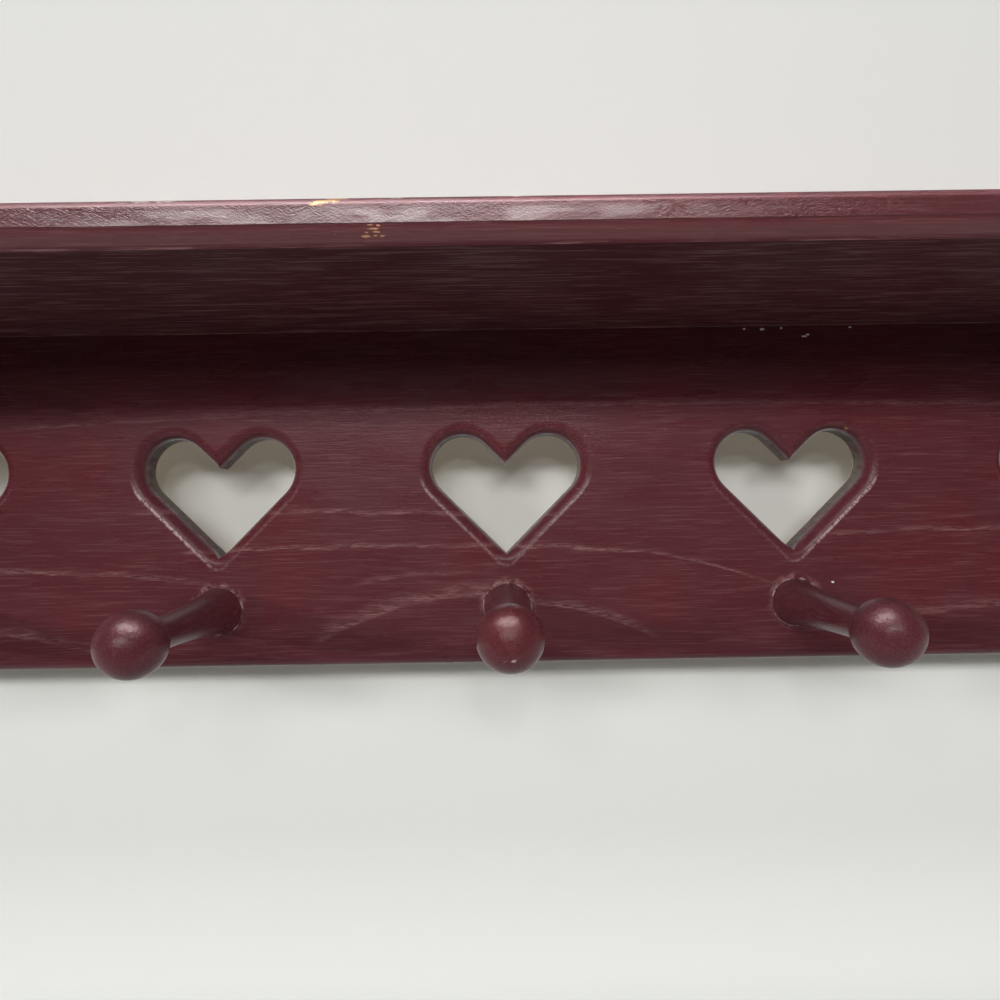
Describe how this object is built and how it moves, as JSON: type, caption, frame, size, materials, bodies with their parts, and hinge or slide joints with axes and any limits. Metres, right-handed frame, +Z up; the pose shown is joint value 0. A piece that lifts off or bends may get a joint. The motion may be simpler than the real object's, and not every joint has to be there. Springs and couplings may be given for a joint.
{
  "type": "peg rail with shelf",
  "caption": "Painted wooden wall rail with a shallow shelf on scrolled end brackets, a row of heart cut-outs and a row of turned pegs with ball ends.",
  "frame": {"origin": "on the back of the board, midway between the keyhole hangers and level with the wall screws that they hang on", "axes": "+X along the rail to the right as seen from the front, +Y into the wall, +Z up"},
  "size_m": [0.6096, 0.108, 0.1524],
  "materials": {
    "board_paint": "satin",
    "shelf_paint": "satin",
    "bracket_paint": "satin",
    "peg_paint": "satin",
    "screw_steel": "satin",
    "plate_steel": "satin"
  },
  "bodies": {
    "root": {"back_board": "board_paint", "shelf_board": "shelf_paint", "bracket_left": "bracket_paint", "bracket_right": "bracket_paint", "peg_1": "peg_paint", "peg_2": "peg_paint", "peg_3": "peg_paint", "peg_4": "peg_paint", "peg_5": "peg_paint", "shelf_screws": "screw_steel", "shelf_plugs": "shelf_paint", "bracket_screws": "screw_steel", "keyhole_hanger_left": "plate_steel", "keyhole_hanger_right": "plate_steel", "hanger_screws": "screw_steel"}
  },
  "joints": []
}
